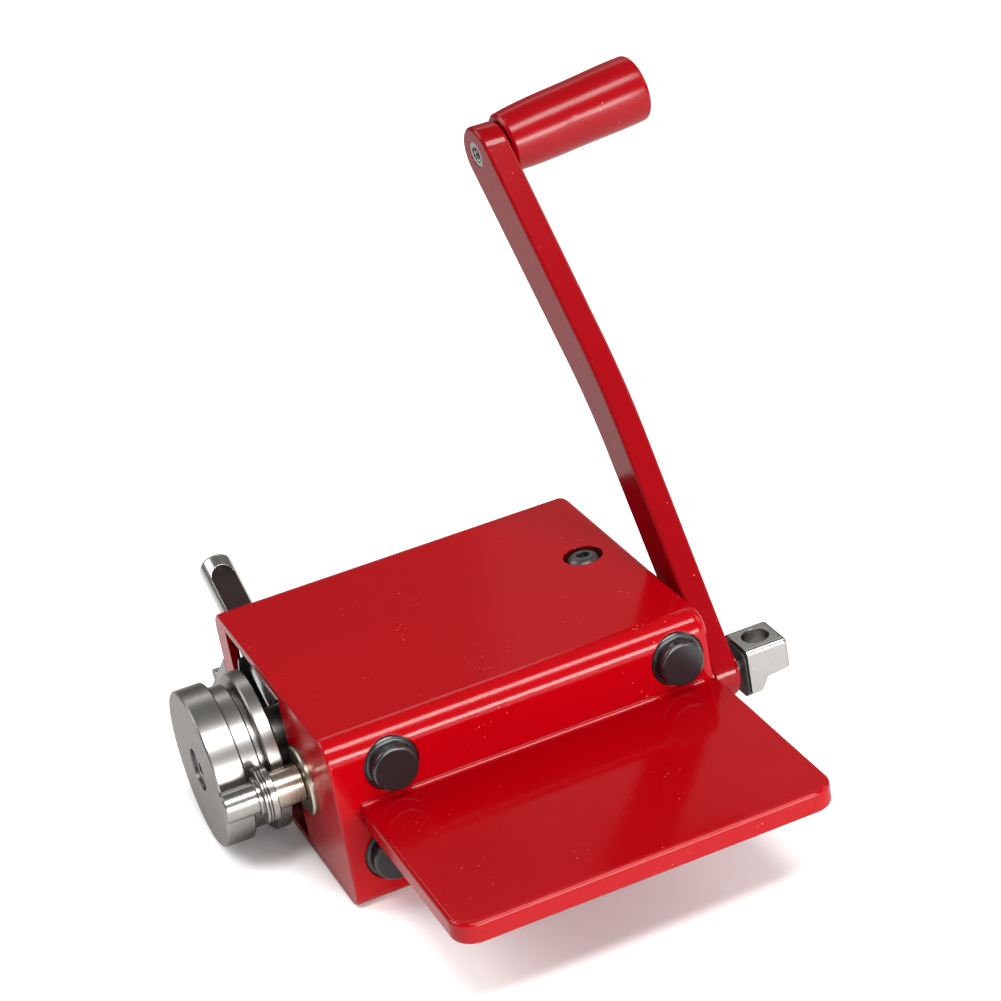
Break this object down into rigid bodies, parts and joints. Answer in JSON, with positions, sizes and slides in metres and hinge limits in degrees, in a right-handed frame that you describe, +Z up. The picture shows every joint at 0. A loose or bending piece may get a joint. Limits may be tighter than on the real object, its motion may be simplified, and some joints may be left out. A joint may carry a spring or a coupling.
{
  "type": "bead roller",
  "caption": "Hand cranked bead roller: steel housing, vise plate, stepped forming rollers, pressure lever and a long crank with a turning grip.",
  "frame": {"origin": "centre of the housing's base, on the surface that the machine stands on", "axes": "+X from the roller end to the crank end, +Y from the vise plate to the rear, +Z up"},
  "size_m": [0.2503, 0.262, 0.235],
  "materials": {
    "enamel_red": "gloss",
    "machined_steel": "satin",
    "bright_steel": "polished",
    "plain_steel": "matte",
    "bronze": "satin",
    "black_steel": "satin",
    "black_plastic": "gloss",
    "black_rubber": "matte"
  },
  "bodies": {
    "frame": {"housing": "enamel_red", "vise_plate": "enamel_red", "front_bearing_block": "enamel_red", "rear_guide_block": "enamel_red", "pressure_bearing_block": "machined_steel", "end_bearing_block": "machined_steel", "mandrel_bushing": "bronze", "mandrel_tail_bushing": "bronze", "crank_bushing": "bronze", "eccentric_bushing": "bronze", "block_screws": "black_steel", "plug_caps": "black_plastic", "top_screw": "black_steel", "base_screws": "black_steel", "lever_stop_bracket": "plain_steel", "lever_stop_pin": "machined_steel", "bracket_screw": "black_steel"},
    "mandrel": {"mandrel_shaft": "machined_steel", "small_roller": "machined_steel", "spacer_sleeve": "bronze", "driven_gear": "machined_steel", "gear_key": "machined_steel", "mandrel_clip": "black_steel"},
    "pressure_lever": {"eccentric_shaft": "machined_steel", "lever": "machined_steel", "slot_shield": "black_steel", "eccentric_collar": "machined_steel", "collar_screw": "black_steel", "roller_screw": "black_steel"},
    "big_roller": {"big_roller": "machined_steel", "roller_bush": "bronze"},
    "crank": {"crank_shaft": "machined_steel", "drive_pinion": "machined_steel", "pinion_pin": "machined_steel", "crank_clip": "black_steel", "crank_arm": "enamel_red", "crank_set_screw": "black_steel", "drive_block": "bright_steel", "drive_block_seal": "black_rubber", "grip_spindle": "bright_steel", "grip_nut": "bright_steel"},
    "grip": {"grip": "enamel_red"}
  },
  "joints": [
    {"name": "crank_spin", "type": "hinge", "parent": "frame", "child": "crank", "pos_m": [0.0762, -0.05132, 0.035], "axis": [1, 0, 0], "continuous": true},
    {"name": "mandrel_spin", "type": "hinge", "parent": "frame", "child": "mandrel", "pos_m": [-0.0762, -0.027, 0.038], "axis": [1, 0, 0], "continuous": true},
    {"name": "grip_spin", "type": "hinge", "parent": "crank", "child": "grip", "pos_m": [0.10808, 0.07736, 0.21877], "axis": [0.9942, 0.0619, 0.0885], "continuous": true},
    {"name": "lever_swing", "type": "hinge", "parent": "frame", "child": "pressure_lever", "pos_m": [-0.0762, 0.0125, 0.03635], "axis": [1, 0, 0], "range_deg": [-24, 0]},
    {"name": "roller_spin", "type": "hinge", "parent": "pressure_lever", "child": "big_roller", "pos_m": [-0.0962, 0.013, 0.034], "axis": [1, 0, 0], "continuous": true}
  ],
  "couplings": [
    {"joint": "mandrel_spin", "follows": "crank_spin", "ratio": -0.53125}
  ]
}
